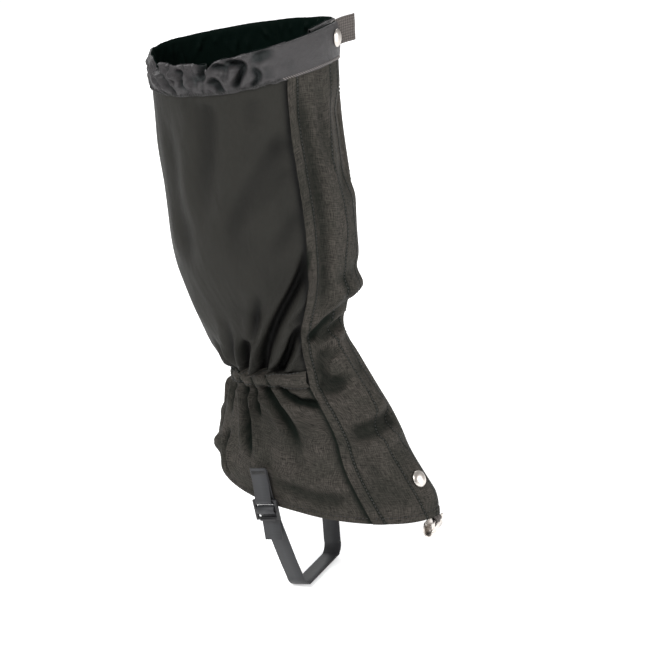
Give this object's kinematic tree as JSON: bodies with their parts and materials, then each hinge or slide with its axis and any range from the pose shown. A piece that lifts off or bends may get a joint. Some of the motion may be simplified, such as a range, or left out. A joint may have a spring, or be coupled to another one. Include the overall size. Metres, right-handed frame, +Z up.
{
  "type": "trekking gaiter",
  "caption": "Knee-high fabric gaiter for a right boot: front hook-and-loop flap with press studs, gathered cuff and ankle, adjustable instep strap and lace hook.",
  "frame": {"origin": "middle of the ankle opening, at the height of the ankle elastic", "axes": "+Z up the leg, -Y towards the toe, -X towards the outer side of the right leg"},
  "size_m": [0.1361, 0.2796, 0.5225],
  "materials": {
    "soft_fabric": "smooth matt woven polyester, olive grey",
    "heavy_fabric": "coarse matt canvas weave, brown grey",
    "cuff_nylon": "thin nylon with a soft sheen",
    "webbing": "flat woven webbing",
    "hook_loop_tape": "hook-and-loop pile",
    "elastic": "knitted elastic",
    "strap": "smooth polyurethane strap",
    "buckle": "moulded acetal",
    "nickel": "nickel plate"
  },
  "bodies": {
    "shell": {"calf_panel": "soft_fabric", "heel_panel": "heavy_fabric", "front_panel": "heavy_fabric", "underlap_panel": "heavy_fabric", "ankle_casing": "heavy_fabric", "ankle_elastic": "elastic", "hem_facing": "heavy_fabric", "cuff_band": "cuff_nylon", "cuff_underlap_end": "cuff_nylon", "cuff_elastic": "elastic", "shin_hook_tape": "hook_loop_tape", "instep_hook_tape": "hook_loop_tape", "ankle_loop_tape": "hook_loop_tape", "top_snap_stud": "nickel", "top_snap_post": "nickel", "instep_snap_stud": "nickel", "instep_snap_post": "nickel", "hook_loop": "webbing"},
    "shin_corner": {"shin_flap": "heavy_fabric", "cuff_flap_end": "cuff_nylon", "shin_loop_tape": "hook_loop_tape", "top_snap_cap": "nickel", "top_snap_socket": "nickel", "pull_tab_root": "webbing"},
    "grab_tab": {"pull_tab": "webbing"},
    "instep_corner": {"instep_flap": "heavy_fabric", "instep_loop_tape": "hook_loop_tape", "instep_snap_cap": "nickel", "instep_snap_socket": "nickel"},
    "strap_loop": {"instep_strap": "strap", "ladder_lock": "buckle", "strap_tab_outer": "strap", "strap_tab_inner": "strap"},
    "lace_hook": {"lace_hook": "nickel"}
  },
  "joints": [
    {"name": "shin_corner_peel", "type": "hinge", "parent": "shell", "child": "shin_corner", "pos_m": [0.0122, -0.0703, 0.0831], "axis": [0.2153, -0.1401, -0.9664], "range_deg": [0, 110]},
    {"name": "instep_corner_peel", "type": "hinge", "parent": "shell", "child": "instep_corner", "pos_m": [0.0074, -0.0859, -0.0109], "axis": [-0.3234, -0.3922, -0.8612], "range_deg": [0, 110]},
    {"name": "grab_tab_flex", "type": "hinge", "parent": "shin_corner", "child": "grab_tab", "pos_m": [0.0151, -0.0356, 0.2877], "axis": [0.0017, 0.0483, 0.9988], "range_deg": [-15, 38], "stiffness_Nm_per_rad": 0.005},
    {"name": "strap_swing", "type": "hinge", "parent": "shell", "child": "strap_loop", "pos_m": [0, 0.002, -0.0935], "axis": [1, 0, 0], "range_deg": [-4, 45]},
    {"name": "lace_hook_swing", "type": "hinge", "parent": "shell", "child": "lace_hook", "pos_m": [0, -0.147, -0.1352], "axis": [1, 0, 0], "range_deg": [-30, 30]}
  ]
}
